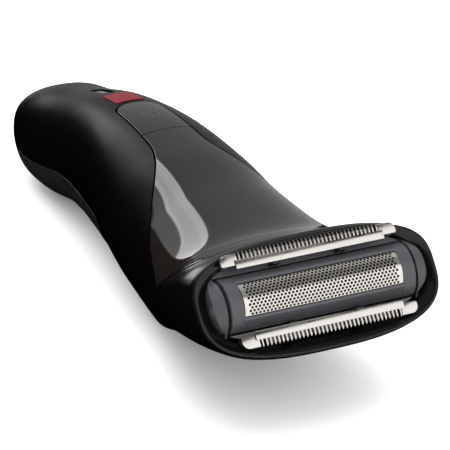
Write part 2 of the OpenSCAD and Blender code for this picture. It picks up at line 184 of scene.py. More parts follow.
def skin(t, angle, inwards=0):
    # t runs along the handle, angle round it: 0 is the right side, 90 the top
    shrink = closing(t)
    w, h = column(t, 2) * shrink - inwards, column(t, 3) * shrink - inwards
    lean = math.radians(column(t, 4))
    a = math.radians(angle)
    up = h * squared(math.sin(a), handle["squareness"])
    return (w * squared(math.cos(a), handle["squareness"]),
            column(t, 0) + up * math.sin(lean), column(t, 1) + up * math.cos(lean))


def wallAt(t):
    return min(handle["wall"], handle["lip"] + handle["lipGrowth"] * (handle["tailEnd"] - t))


def ease(u):
    v = min(1, max(0, u))
    return v * v * (3 - 2 * v)


def panelAngle(t):
    flare = ease((panel["flareStart"] - t) / panel["flareLength"])
    return panel["narrow"] + (panel["wide"] - panel["narrow"]) * flare


def asAngle(width, t):
    return math.degrees(width / column(t, 3))


def rowPlace(share, start=0.0):
    # rows lie closer together towards the tail
    end = handle["tailEnd"]
    return end - (end - start) * (1 - share) ** handle["rowSpread"]


def onTop(x, y, outwards=0):
    # the point on the skin above x, y, found by stepping t until y fits
    t = 0.0
    stepLength = 26         # the longest way from one station to the next
    for _ in range(24):
        w, h = column(t, 2) * closing(t) + outwards, column(t, 3) * closing(t) + outwards
        up = h * (1 - min(1, abs(x) / w) ** handle["squareness"]) ** (1 / handle["squareness"])
        lean = math.radians(column(t, 4))
        miss = y - column(t, 0) - up * math.sin(lean)
        t = min(handle["tailEnd"], max(0, t + miss / stepLength))
    return (x, column(t, 0) + up * math.sin(lean), column(t, 1) + up * math.cos(lean))


def gridShell(name, rows, cols, outer, inner, keep=None, wrap=False):
    # closed shell between two grids of points, open where keep says no
    n = cols if wrap else cols + 1
    half = (rows + 1) * n
    points = [outer(i, j) for i in range(rows + 1) for j in range(n)]
    points += [inner(i, j) for i in range(rows + 1) for j in range(n)]

    def at(i, j, k):
        return k * half + i * n + (j % cols if wrap else j)

    def solid(i, j):
        if not 0 <= i < rows or not (wrap or 0 <= j < cols):
            return False
        return keep is None or keep(i, j % cols)

    faces = []
    for i in range(rows):
        for j in range(cols):
            if not solid(i, j):
                continue
            faces.append([at(i, j, 0), at(i + 1, j, 0), at(i + 1, j + 1, 0), at(i, j + 1, 0)])
            faces.append([at(i, j, 1), at(i, j + 1, 1), at(i + 1, j + 1, 1), at(i + 1, j, 1)])
            if not solid(i - 1, j):
                faces.append([at(i, j, 0), at(i, j + 1, 0), at(i, j + 1, 1), at(i, j, 1)])
            if not solid(i + 1, j):
                faces.append([at(i + 1, j + 1, 0), at(i + 1, j, 0), at(i + 1, j, 1), at(i + 1, j + 1, 1)])
            if not solid(i, j - 1):
                faces.append([at(i + 1, j, 0), at(i, j, 0), at(i, j, 1), at(i + 1, j, 1)])
            if not solid(i, j + 1):
                faces.append([at(i, j + 1, 0), at(i + 1, j + 1, 0), at(i + 1, j + 1, 1), at(i, j + 1, 1)])
    return meshPiece(name, points, faces)


# the face of the head: x across, u up along it, n out of it
face = {"y": -78.1, "z": 33.5, "tilt": 38}
tilt = math.radians(face["tilt"])
faceUp = Vector((0, math.sin(tilt), math.cos(tilt)))
faceOut = Vector((0, -math.cos(tilt), math.sin(tilt)))


def onFace(x, u, n):
    return Vector((x, face["y"], face["z"])) + faceUp * u + faceOut * n


def oval(w, h, power, steps):
    turns = [2 * math.pi * k / steps for k in range(steps)]
    return [(w * squared(math.cos(a), power), h * squared(math.sin(a), power)) for a in turns]


def addSurface(name, spec):
    # procedural finish on object coordinates; sizes in millimetres, all lengths of the real surface
    material = bpy.data.materials.new(name)
    material.use_nodes = True
    tree = material.node_tree
    tree.nodes.clear()
    coord = addNode(tree, "ShaderNodeTexCoord")
    mapping = addNode(tree, "ShaderNodeMapping", {"Scale": spec.get("stretch", (1, 1, 1))},
                      {"Vector": coord.outputs["Object"]})
    place = mapping.outputs["Vector"]
    mottle = addNode(tree, "ShaderNodeTexNoise", {"Scale": 1000 / spec.get("mottle", 14), "Detail": 3.0},
                     {"Vector": place})
    grain = addNode(tree, "ShaderNodeTexNoise",
                    {"Scale": 1000 / spec["grain"], "Detail": 4.0, "Roughness": 0.6}, {"Vector": place})
    # colour: two close tones, then paler along worn edges
    tone = addNode(tree, "ShaderNodeMix",
                   {"data_type": "RGBA", 6: colourOf(spec["colour"]), 7: colourOf(spec["tone"])},
                   {0: mottle.outputs["Fac"]})
    colour = tone.outputs[2]
    if spec.get("wear", 0) > 0:
        edge = addNode(tree, "ShaderNodeNewGeometry")
        ridge = addNode(tree, "ShaderNodeMapRange",
                        {"From Min": 0.53, "From Max": 0.62, "To Min": 0.0, "To Max": spec["wear"]},
                        {"Value": edge.outputs["Pointiness"]})
        broken = addNode(tree, "ShaderNodeMath", {"operation": "MULTIPLY"},
                         {0: ridge.outputs["Result"], 1: grain.outputs["Fac"]})
        worn = addNode(tree, "ShaderNodeMix", {"data_type": "RGBA", 7: colourOf(spec["wornColour"])},
                       {0: broken.outputs["Value"], 6: colour})
        colour = worn.outputs[2]
    low, high = spec["roughness"]
    rough = addNode(tree, "ShaderNodeMapRange",
                    {"From Min": 0.3, "From Max": 0.7, "To Min": low, "To Max": high},
                    {"Value": mottle.outputs["Fac"]})
    relief = addNode(tree, "ShaderNodeBump", {"Strength": spec.get("relief", 0.1), "Distance": 0.02 * mm},
                     {"Height": grain.outputs["Fac"]})
    shader = addNode(tree, "ShaderNodeBsdfPrincipled",
                     {"Metallic": spec.get("metallic", 0.0), "IOR": spec.get("ior", 1.5),
                      "Transmission Weight": spec.get("clear", 0.0),
                      "Specular IOR Level": spec.get("specular", 0.5)},
                     {"Base Color": colour, "Roughness": rough.outputs["Result"],
                      "Normal": relief.outputs["Normal"]})
    addNode(tree, "ShaderNodeOutputMaterial", None, {"Surface": shader.outputs["BSDF"]})
    return material


surfaces = {
    # ABS moulded in a polished tool: deep black with a soft sheen
    "mouldedAbsBlack": {"colour": "#040404", "tone": "#070606", "roughness": (0.28, 0.36), "grain": 0.5,
                        "specular": 0.07, "mottle": 22, "relief": 0.05, "wear": 0.4, "wornColour": "#2c2b2b"},
    # ABS moulded in a mirror-polished tool: the black head
    "polishedAbsBlack": {"colour": "#040304", "tone": "#070607", "roughness": (0.17, 0.24), "grain": 0.6,
                         "specular": 0.4, "mottle": 20, "relief": 0.04, "wear": 0.5, "wornColour": "#454345"},
    # soft-touch lacquer over ABS: dark grey-brown with a broad dull sheen
    "softTouchLacquer": {"colour": "#1b1817", "tone": "#22201e", "roughness": (0.38, 0.48), "grain": 0.25,
                         "mottle": 10, "relief": 0.25, "wear": 0.1, "wornColour": "#363330"},
    # tinted gloss lacquer over ABS: dark taupe, mirror-like
    "glossTaupeLacquer": {"colour": "#14110f", "tone": "#191513", "roughness": (0.05, 0.09), "grain": 0.8,
                          "mottle": 26, "relief": 0.02},
    # thin tampo print under the lacquer: a shade paler than the panel
    "padPrintedInk": {"colour": "#2b2724", "tone": "#302b28", "roughness": (0.12, 0.18), "grain": 0.4,
                      "mottle": 5, "relief": 0.05},
    # printed and lacquered foil badge: one plain red
    "lacquerRed": {"colour": "#660919", "tone": "#6e0c1d", "roughness": (0.38, 0.46), "grain": 0.3,
                   "specular": 0.15, "mottle": 5, "relief": 0.1, "wear": 0.2, "wornColour": "#a8404f"},
    # smoked acrylic light guide
    "smokedAcrylic": {"colour": "#17181b", "tone": "#1d1f22", "roughness": (0.08, 0.16), "grain": 0.4,
                      "mottle": 4, "relief": 0.05, "ior": 1.49},
    # clear epoxy of the lamp
    "clearEpoxy": {"colour": "#dfe8e4", "tone": "#eef3f0", "roughness": (0.08, 0.14), "grain": 0.4,
                   "mottle": 3, "relief": 0.05, "clear": 0.6, "ior": 1.52},
    # glass-filled nylon: grey with a faint fibrous grain
    "glassFilledNylon": {"colour": "#2c2d30", "tone": "#37393c", "roughness": (0.45, 0.6), "grain": 0.18,
                         "mottle": 4, "relief": 0.4, "stretch": (1, 0.25, 1)},
    # moulded silicone of the seals
    "siliconeBlack": {"colour": "#141414", "tone": "#1c1c1c", "roughness": (0.5, 0.65), "grain": 0.2,
                      "mottle": 4, "relief": 0.2},
    # zinc-plated pressed steel of the motor can
    "platedSteel": {"colour": "#b4b7b9", "tone": "#c4c6c7", "roughness": (0.24, 0.36), "grain": 0.3,
                    "mottle": 6, "relief": 0.2, "metallic": 1.0, "stretch": (1, 0.1, 1)},
    # black acetal of the drive
    "blackAcetal": {"colour": "#1c1c1e", "tone": "#242427", "roughness": (0.32, 0.42), "grain": 0.3,
                    "mottle": 5, "relief": 0.15},
    # heat-shrunk sleeve of the cell
    "shrunkSleeveGreen": {"colour": "#3b6b53", "tone": "#467a60", "roughness": (0.2, 0.3), "grain": 0.8,
                          "mottle": 7, "relief": 0.15},
    # nickel-plated spring steel
    "nickelPlate": {"colour": "#c9c7c2", "tone": "#d8d6d2", "roughness": (0.14, 0.24), "grain": 0.3,
                    "mottle": 3, "relief": 0.1, "metallic": 1.0},
    # solder mask over woven glass laminate
    "solderMaskGreen": {"colour": "#25603c", "tone": "#2f7149", "roughness": (0.28, 0.38), "grain": 0.4,
                        "mottle": 2, "relief": 0.3},
    # spark-textured nylon of the cutting head: satin dark grey
    "texturedNylonGrey": {"colour": "#38383b", "tone": "#3e3e42", "roughness": (0.3, 0.4), "grain": 0.22,
                          "mottle": 8, "relief": 0.3, "wear": 0.5, "wornColour": "#77777b"},
    # electroformed nickel: thin, bright and faintly milky
    "electroformedNickel": {"colour": "#e9e4dd", "tone": "#f2eee8", "roughness": (0.2, 0.28), "grain": 0.3,
                            "mottle": 5, "relief": 0.1, "metallic": 1.0},
    # ground steel of the inner blades, oiled; its base colour is painted dark as painted shade of the foil
    # over it
    "oiledBladeSteelPaintedShade": {"colour": "#33312f", "tone": "#3d3b38", "roughness": (0.35, 0.45), "grain": 0.2,
                        "mottle": 3, "relief": 0.2, "metallic": 1.0},
    # blade steel, stamped, ground across the teeth and polished
    "groundBladeSteel": {"colour": "#dedad4", "tone": "#ece8e3", "roughness": (0.16, 0.26), "grain": 0.12,
                         "mottle": 3, "relief": 0.2, "metallic": 1.0, "stretch": (1, 0.12, 0.12)},
}
finishes = {name: addSurface(name, spec) for name, spec in surfaces.items()}

slotFinish = {
    "shell_black": "mouldedAbsBlack", "cover_dark": "softTouchLacquer", "panel_taupe": "glossTaupeLacquer",
    "badge_red": "lacquerRed", "lens_smoke": "smokedAcrylic",
    "led_clear": "clearEpoxy", "inner_plastic": "glassFilledNylon", "seal_rubber": "siliconeBlack",
    "motor_steel": "platedSteel", "drive_nylon": "blackAcetal", "cell_sleeve": "shrunkSleeveGreen",
    "contact_nickel": "nickelPlate", "board_green": "solderMaskGreen", "head_black": "polishedAbsBlack",
    "bezel_grey": "texturedNylonGrey", "foil_steel": "electroformedNickel", "blade_steel": "groundBladeSteel",
}
# the inner cutter takes the blade steel painted dark, as painted shade under the foil
nodeFinish = {"inner_cutter": "oiledBladeSteelPaintedShade"}
for subpart in frame["record"]["subparts"]:
    node = cadNodes[subpart["node"]]
    node.data.materials.clear()
    usual = slotFinish[subpart["material_slot"]]
    node.data.materials.append(finishes[nodeFinish.get(subpart["node"], usual)])
print("materials made:", len(finishes))


def finishAs(piece, body, slot, *replaced):
    return dress(piece, finishes[slotFinish[slot]], body, slot, *replaced)


casing = {
    "rows": 138, "topCols": 30, "sideCols": 16, "underCols": 36,
    "buttonStart": 3.52, "buttonEnd": 4.5,
    "coverStart": 3.8, "coverAngle": 12, "coverProud": 0.3, "flushShare": 0.14,
    "sideGap": 0.4,         # dark line beside the panel and the button
    "seamGap": 0.12,        # fine line between the panel and the button
    "stationLength": 20,    # from one station to the next, at the button
    "endBow": 0.1, "endCorner": 0.07,   # how the button's end curves, counted in stations
    "edge": 0.3,            # radius of the moulded edges
    "fadeRows": 22,         # rows over which the curved end of the opening fades out
    "panelWall": 1.7, "buttonWall": 1.4, "coverWall": 1.8,
}
lensSlot = {"radius": 1.6, "halfStraight": 4.2, "lean": -16, "centre": (0, 43, 34.35), "reach": 4}


def endCurve(across):
    # across is -1 at the left edge of the button, 1 at the right
    return -casing["endBow"] * across ** 2 - casing["endCorner"] * abs(across) ** 8


def makeBodyShell():
    top, side, under, rows = (casing[k] for k in ("topCols", "sideCols", "underCols", "rows"))
    ring = top + 2 * side + under
    left, right = 180 + casing["coverAngle"], 360 - casing["coverAngle"]
    spread = handle["rowSpread"]
    rowOf = lambda t: round(rows * (1 - (1 - t / handle["tailEnd"]) ** (1 / spread)))
    panelRow, coverRow = rowOf(casing["buttonEnd"]), rowOf(casing["coverStart"])

    def rowT(i):
        if i == panelRow:
            return casing["buttonEnd"]
        return casing["coverStart"] if i == coverRow else rowPlace(i / rows)

    def place(i, j):
        t = rowT(i)
        half = panelAngle(t)
        if j <= top:
            across, angle = 2 * j / top - 1, 90 - half + 2 * half * j / top
        elif j <= top + side:
            across, angle = 1 + (j - top) / side, 90 + half + (left - 90 - half) * (j - top) / side
        elif j <= top + side + under:
            across, angle = 9, left + (right - left) * (j - top - side) / under
        else:
            step = (j - top - side - under) / side
            across, angle = 2 - step, right + (450 - half - right) * step
        fade = max(0, 1 - abs(i - panelRow) / casing["fadeRows"])
        bend = endCurve(min(1, abs(across))) * ease(2 - abs(across)) if abs(across) < 2 else 0
        return t + bend * ease(fade), angle

    def keep(i, j):
        if j < top:
            return i >= panelRow
        return j < top + side or j >= top + side + under or i < coverRow

    def outer(i, j):
        t, angle = place(i, j)
        return skin(t, angle)

    def inner(i, j):
        t, angle = place(i, j)
        return skin(t, angle, wallAt(t))

    shell = gridShell("bodyShell", rows, ring, outer, inner, keep, True)
    radius, straight = lensSlot["radius"], lensSlot["halfStraight"]
    slot = [(radius * math.cos(a), radius * math.sin(a) + (straight if k < 12 else -straight))
            for k in range(24) for a in [math.pi * (k if k < 12 else k - 1) / 11]]
    lean = math.radians(lensSlot["lean"])
    alongSlot = Vector((0, math.cos(lean), math.sin(lean)))
    upFromSlot = Vector((0, -math.sin(lean), math.cos(lean)))
    centre = Vector(lensSlot["centre"])

    def slotPlace(x, y, n):
        return centre + Vector((x, 0, 0)) + alongSlot * y + upFromSlot * n

    cutWith(shell, prism("slotCutter", slot, slotPlace, -lensSlot["reach"], lensSlot["reach"]))
    shell.data.set_sharp_from_angle(angle=math.radians(35))
    return roundEdges(shell, casing["edge"])


def skinPatch(name, rows, cols, tLow, tHigh, low, high, out, inn, spread=1.0, bow=None):
    # piece of the skin between two rows and two angles, given as functions of the share across
    def place(i, j):
        share = j / cols
        a, b = tLow, tHigh
        if bow:
            a, b = a + bow[0](2 * share - 1), b + bow[1](2 * share - 1)
        t = b - (b - a) * (1 - i / rows) ** spread
        return t, low(t) + (high(t) - low(t)) * share

    def outer(i, j):
        # a proud piece is flush again at its side edges
        t, angle = place(i, j)
        return skin(t, angle, out * ease(min(j, cols - j) / cols / casing["flushShare"]))

    def inner(i, j):
        t, angle = place(i, j)
        return skin(t, angle, min(inn, wallAt(t)))

    return gridShell(name, rows, cols, outer, inner)


def edgeAngles(gap):
    return ((lambda t: 90 - panelAngle(t) + asAngle(gap, t)),
            (lambda t: 90 + panelAngle(t) - asAngle(gap, t)))


finishAs(makeBodyShell(), "handle", "shell_black", "body_shell")

rearCover = skinPatch("rearCover", 90, 44, casing["coverStart"] + 0.003, handle["tailEnd"],
                      lambda t: 193, lambda t: 347, -casing["coverProud"], casing["coverWall"],
                      handle["rowSpread"])
finishAs(roundEdges(rearCover, casing["edge"]), "handle", "cover_dark", "rear_cover")

halfSeam = casing["seamGap"] / 2 / casing["stationLength"]
flat = lambda across: 0.0
panelLow, panelHigh = edgeAngles(casing["sideGap"])
frontPanel = skinPatch("frontPanel", 84, 52, 0.0, casing["buttonStart"] - halfSeam,
                       panelLow, panelHigh, 0, casing["panelWall"])
finishAs(roundEdges(frontPanel, casing["edge"]), "handle", "panel_taupe", "front_panel")

powerButton = skinPatch("powerButton", 34, 30, casing["buttonStart"] + halfSeam,
                        casing["buttonEnd"] - 0.02, panelLow, panelHigh, 0, casing["buttonWall"], 1.0,
                        (flat, endCurve))
finishAs(roundEdges(powerButton, 0.35), "button", "panel_taupe", "power_button")
print("casing done")


badge = {"halfWidth": 3.6, "front": 25.2, "length": 9.4, "bow": 1.2, "proud": 0.25, "steps": (12, 10)}


def makeBadge():
    rows, cols = badge["steps"]

    def place(i, j, out):
        across = 2 * j / cols - 1
        x = across * badge["halfWidth"]
        front = badge["front"] - badge["bow"] * across ** 2 * 0.3
        return onTop(x, front + badge["length"] * i / rows, out)

    plate = gridShell("badgePlate", rows, cols, lambda i, j: place(i, cols - j, badge["proud"]),
                      lambda i, j: place(i, cols - j, -0.05))
    return roundEdges(plate, 0.12, 2)


finishAs(makeBadge(), "handle", "badge_red", "badge")

powerMark = {"centre": (0.0, 12.2), "radius": 2.1, "line": 0.42, "openAngle": 34, "proud": 0.05}


def makePowerMark():
    # the generic power sign: an open ring and a short bar, printed just proud of the button
    cx, cy = powerMark["centre"]
    half = powerMark["line"] / 2
    steps = 40
    start = math.radians(90 + powerMark["openAngle"])
    sweep = math.radians(360 - 2 * powerMark["openAngle"])

    def ring(i, j, out):
        a = start + sweep * i / steps
        r = powerMark["radius"] + half * (2 * j - 1)
        return onTop(cx + r * math.cos(a), cy + r * math.sin(a), out)

    def bar(i, j, out):
        return onTop(cx + half * (1 - 2 * j), cy + 0.7 + 1.9 * i / 6, out)

    proud, sunk = powerMark["proud"], -0.1
    parts = [gridShell("ringPart", steps, 1, lambda i, j: ring(i, j, proud), lambda i, j: ring(i, j, sunk)),
             gridShell("barPart", 6, 1, lambda i, j: bar(i, j, proud), lambda i, j: bar(i, j, sunk))]
    return joined("powerMark", parts)


dress(makePowerMark(), finishes["padPrintedInk"], "button", "panel_taupe")


def growWith(piece, tree, values):
    # runs a geometry tree on the piece and keeps the result as its mesh
    modifier = piece.modifiers.new(tree.name, "NODES")
    modifier.node_group = tree
    for socket in tree.interface.items_tree:
        if socket.in_out == "INPUT" and socket.name in values:
            modifier[socket.identifier] = values[socket.name]
    applyModifiers(piece)
    piece.data.shade_smooth()
    piece.data.set_sharp_from_angle(angle=math.radians(50))
    return piece


print("trim done")


head = {"halfWidth": 29,
        "above": (12.2, 3.2), "below": (13.4, 2.8),     # height and squareness of the rim's halves
        "shift": -0.5, "depth": 2, "gap": 0.3, "lip": 1.65, "topLip": 1.1, "wall": 1.6,
        "bulge": 0.8, "chin": 1.0, "cols": 208,
        # across the lip, from its outer wall to its inner one: share of its width, share of its depth
        "lipProfile": [(0.0, 0.3), (0.02, 0.16), (0.06, 0.06), (0.12, 0.01), (0.19, 0.0), (0.3, 0.05),
                       (0.44, 0.15), (0.58, 0.29), (0.72, 0.46), (0.85, 0.64), (0.94, 0.8), (1.0, 1.0)]}


def rimPoint(a, grow, depth):
    height, power = head["below"] if math.sin(a) < 0 else head["above"]
    u = (height + grow) * squared(math.sin(a), power) + head["shift"]
    return onFace((head["halfWidth"] + grow) * squared(math.cos(a), power), u, -depth)


def lipAt(a):
    # the rolled lip is slimmer above the upper trimmer
    return head["lip"] + (head["topLip"] - head["lip"]) * ease((math.sin(a) - 0.25) / 0.6)


def neckPoint(a, inwards):
    lean = math.radians(handle["stations"][0][4])
    x, y, z = skin(0, math.degrees(a), inwards)
    return Vector((x, y - head["gap"] * math.cos(lean), z + head["gap"] * math.sin(lean)))


def makeHousing():
    def between(a, share, inwards, rimInwards):
        p, q = neckPoint(a, inwards), rimPoint(a, -rimInwards, head["depth"] + lipAt(a))
        m = p + (q - p) * share
        chin = head["chin"] * max(0, -math.sin(a)) ** 2 * math.sin(math.pi * share * share)
        out = head["bulge"] * math.sin(math.pi * share) + chin
        return m + Vector((math.cos(a), 0, math.sin(a))) * out

    # outside from the neck to the rim, over the rolled lip, and back inside
    path = [("wall", 0.0, 0.45), ("wall", 0.004, 0.14), ("wall", 0.02, 0.0)]
    path += [("wall", 0.02 + 0.98 * k / 22, 0.0) for k in range(1, 23)]
    path += [("lip", step) for step in head["lipProfile"]]
    path += [("back", 1 - k / 10) for k in range(1, 11)]

    def place(i, j):
        a = 2 * math.pi * j / head["cols"]
        step, lip = path[i], lipAt(a)
        if step[0] == "wall":
            return between(a, step[1], step[2], 0)
        if step[0] == "lip":
            inwards, down = step[1]
            return rimPoint(a, -2 * lip * inwards, head["depth"] + lip * down)
        return between(a, step[1], head["wall"], 2 * lip)

    cols, rows = head["cols"], len(path)
    points = [place(i, j) for i in range(rows) for j in range(cols)]
    faces = []
    for i in range(rows):
        here, following = i * cols, ((i + 1) % rows) * cols
        for j in range(cols):
            nextCol = (j + 1) % cols
            faces.append([here + nextCol, following + nextCol, following + j, here + j])
    return meshPiece("headHousing", points, faces, 50)


finishAs(makeHousing(), "head", "head_black", "head_housing")

bezel = {"top": -4, "back": -5.5, "halfWidth": 25.5, "halfHeight": 9.2, "power": 3.2, "shift": 0.3,
         "slotHalf": 22.9, "slotHeight": 6.4, "endDrop": 0.45, "endFall": 0.4,
         "postPlace": (19.8, 8.4), "postRadius": 0.8, "postTop": -1.65}
endArch = {"radius": 6.4, "axis": -5.2}     # the arch over both ends of the cassette


def archAt(u):
    # straight on, at the slope it has there, from where the arch gets steep
    reach, slope = 5.2, 1.39
    v = min(abs(u), reach)
    n = endArch["axis"] + math.sqrt(endArch["radius"] ** 2 - v * v)
    return n - (abs(u) - v) * slope


def makeBezel():
    # sunk tray with a slot for the foil frame and a domed block at each end
    shift, power = bezel["shift"], bezel["power"]
    outline = [(x, u + shift) for x, u in oval(bezel["halfWidth"], bezel["halfHeight"], power, 96)]
    tray = prism("tray", outline, onFace, bezel["back"], bezel["top"])
    w, h = bezel["slotHalf"], bezel["slotHeight"]
    corners = [(-w, -h), (w, -h), (w, h), (-w, h)]
    slot = prism("slotCut", corners, onFace, bezel["back"] - 1, bezel["top"] + 1)
    pieces = [cutWith(tray, slot)]
    rows, cols = 30, 8
    for side in (-1, 1):
        def block(i, j, top):
            u = -7.9 + 16.2 * i / rows
            share = min(1, abs(u - shift) / bezel["halfHeight"])
            reachX = bezel["halfWidth"] * (1 - share ** power) ** (1 / power)
            x = w + (max(reachX, w + 0.4) - w) * j / cols
            n = bezel["top"] - 0.6
            if top:
                fall = bezel["endDrop"] + bezel["endFall"] * (x - w)
                n = max(bezel["top"] + 0.15, archAt(u) - fall)
            return onFace(side * x, u, n)

        order = (lambda j: j) if side > 0 else (lambda j: cols - j)
        pieces.append(gridShell("endBlock", rows, cols, lambda i, j: block(i, order(cols - j), True),
                                lambda i, j: block(i, order(cols - j), False)))
    postX, postU = bezel["postPlace"]
    for x in (-postX, postX):
        for u in (-postU, postU):
            post = [(x + a, u + b) for a, b in oval(bezel["postRadius"], bezel["postRadius"], 2, 16)]
            pieces.append(prism("post", post, onFace, bezel["top"] - 0.5, bezel["postTop"]))
    return roundEdges(joined("headBezel", pieces), 0.2)


finishAs(makeBezel(), "head", "bezel_grey", "head_bezel")
print("head done")


foil = {"halfLength": 19, "radius": 5, "axis": -3.7, "thickness": 0.12,
        "holePitch": 0.9, "rowPitch": 0.7, "holeRadius": 0.31, "columns": 40, "rows": 13, "sideDrop": 1.8}
cassette = {"halfLength": 22.2, "halfHeight": 6, "back": -6, "shoulder": -3, "ledge": 4.3}


def makeCassette():
    c = cassette
    outline = [(-c["halfHeight"], c["back"]), (c["halfHeight"], c["back"]), (c["halfHeight"], c["shoulder"]),
               (c["ledge"], -0.1), (-c["ledge"], -0.1), (-c["halfHeight"], c["shoulder"])]
    half, inside = c["halfLength"], foil["halfLength"] + 0.05
    body = prism("cassetteBody", outline, lambda u, n, x: onFace(x, u, n), -inside - 0.4, inside + 0.4)
    arc = [(1.02 * foil["radius"] * math.cos(a), foil["axis"] + 1.02 * foil["radius"] * math.sin(a))
           for a in [math.pi * k / 40 for k in range(41)]]
    arc = [(arc[0][0], c["back"] - 1)] + arc + [(arc[-1][0], c["back"] - 1)]
    body = cutWith(body, prism("archCut", arc, lambda u, n, x: onFace(x, u, n), -inside, inside))
    pieces = [body]
    steep = math.asin(c["halfHeight"] / endArch["radius"])
    for side in (-1, 1):
        dome = [(endArch["radius"] * math.sin(a), endArch["axis"] + endArch["radius"] * math.cos(a))
                for a in [steep * (k / 20 - 1) for k in range(41)]]
        dome = [(-c["halfHeight"], c["back"])] + dome + [(c["halfHeight"], c["back"])]
        low, high = sorted((side * half, side * (inside + 0.01)))
        pieces.append(prism("endArch", dome, lambda u, n, x: onFace(x, u, n), low, high))
    return roundEdges(joined("foilCassette", pieces), 0.18, 3, 30)


finishAs(makeCassette(), "foil_cassette", "bezel_grey", "foil_frame")


def makeFoilTree():
    # flat cells in a running bond, merged with the plain margins, bent to the arch and thickened
    tree = bpy.data.node_groups.new("perforatedFoil", "GeometryNodeTree")
    new = tree.interface.new_socket
    new("Geometry", in_out="INPUT", socket_type="NodeSocketGeometry")
    new("Cell", in_out="INPUT", socket_type="NodeSocketObject")
    for label, kind in (("Columns", "Int"), ("Rows", "Int"), ("Hole pitch", "Float"), ("Row pitch", "Float"),
                        ("Arch radius", "Float"), ("Thickness", "Float"), ("Finish", "Material")):
        new(label, in_out="INPUT", socket_type="NodeSocket" + kind)
    new("Geometry", in_out="OUTPUT", socket_type="NodeSocketGeometry")
    source = addNode(tree, "NodeGroupInput").outputs

    def maths(operation, a, b=None):
        node = addNode(tree, "ShaderNodeMath", {"operation": operation})
        for k, value in enumerate((a, b)):
            if isinstance(value, (int, float)):
                node.inputs[k].default_value = value
            elif value is not None:
                tree.links.new(value, node.inputs[k])
        return node.outputs["Value"]

    width = maths("MULTIPLY", maths("SUBTRACT", source["Columns"], 1), source["Hole pitch"])
    height = maths("MULTIPLY", maths("SUBTRACT", source["Rows"], 1), source["Row pitch"])
    grid = addNode(tree, "GeometryNodeMeshGrid", None,
                   {"Size X": width, "Size Y": height,
                    "Vertices X": source["Columns"], "Vertices Y": source["Rows"]})
    gridPlace = addNode(tree, "GeometryNodeInputPosition").outputs["Position"]
    where = addNode(tree, "ShaderNodeSeparateXYZ", None, {"Vector": gridPlace})
    fromFirst = maths("ADD", where.outputs["Y"], maths("DIVIDE", height, 2))
    rowNumber = maths("ROUND", maths("DIVIDE", fromFirst, source["Row pitch"]))
    odd = maths("SUBTRACT", maths("MODULO", rowNumber, 2), 0.5)
    sideways = maths("MULTIPLY", odd, maths("DIVIDE", source["Hole pitch"], 2))
    shift = addNode(tree, "ShaderNodeCombineXYZ", None, {"X": sideways})
    bond = addNode(tree, "GeometryNodeSetPosition", None,
                   {"Geometry": grid.outputs["Mesh"], "Offset": shift.outputs["Vector"]})
    cell = addNode(tree, "GeometryNodeObjectInfo", {"As Instance": True}, {"Object": source["Cell"]})
    cells = addNode(tree, "GeometryNodeInstanceOnPoints", None,
                    {"Points": bond.outputs["Geometry"], "Instance": cell.outputs["Geometry"]})
    solidCells = addNode(tree, "GeometryNodeRealizeInstances", None, {"Geometry": cells.outputs["Instances"]})
    both = addNode(tree, "GeometryNodeJoinGeometry")
    tree.links.new(source["Geometry"], both.inputs["Geometry"])
    tree.links.new(solidCells.outputs["Geometry"], both.inputs["Geometry"])
    sheet = addNode(tree, "GeometryNodeMergeByDistance", {"Distance": 0.004 * mm},
                    {"Geometry": both.outputs["Geometry"]})
    sheetPlace = addNode(tree, "GeometryNodeInputPosition").outputs["Position"]
    flatPlace = addNode(tree, "ShaderNodeSeparateXYZ", None, {"Vector": sheetPlace})
    turn = maths("DIVIDE", flatPlace.outputs["Y"], source["Arch radius"])
    bent = addNode(tree, "ShaderNodeCombineXYZ", None,
                   {"X": flatPlace.outputs["X"],
                    "Y": maths("MULTIPLY", maths("SINE", turn), source["Arch radius"]),
                    "Z": maths("MULTIPLY", maths("COSINE", turn), source["Arch radius"])})
    arch = addNode(tree, "GeometryNodeSetPosition", None,
                   {"Geometry": sheet.outputs["Geometry"], "Position": bent.outputs["Vector"]})
    depth = maths("MULTIPLY", source["Thickness"], -1)
    skinDown = addNode(tree, "GeometryNodeExtrudeMesh", {"Individual": False},
                       {"Mesh": arch.outputs["Geometry"], "Offset Scale": depth})
    flipped = addNode(tree, "GeometryNodeFlipFaces", None, {"Mesh": skinDown.outputs["Mesh"]})
    closed = addNode(tree, "GeometryNodeJoinGeometry")
    tree.links.new(arch.outputs["Geometry"], closed.inputs["Geometry"])
    tree.links.new(flipped.outputs["Mesh"], closed.inputs["Geometry"])
    merged = addNode(tree, "GeometryNodeMergeByDistance", {"Distance": 0.002 * mm},
                     {"Geometry": closed.outputs["Geometry"]})
    leanBack = (math.radians(90 - face["tilt"]), 0, 0)
    onHead = addNode(tree, "GeometryNodeTransform",
                     {"Translation": onFace(0, 0, foil["axis"]) * mm, "Rotation": leanBack},
                     {"Geometry": merged.outputs["Geometry"]})
    whole = addNode(tree, "GeometryNodeRealizeInstances", None, {"Geometry": onHead.outputs["Geometry"]})
    coloured = addNode(tree, "GeometryNodeSetMaterial", None,
                       {"Geometry": whole.outputs["Geometry"], "Material": source["Finish"]})
    addNode(tree, "NodeGroupOutput", None, {"Geometry": coloured.outputs["Geometry"]})
    return tree


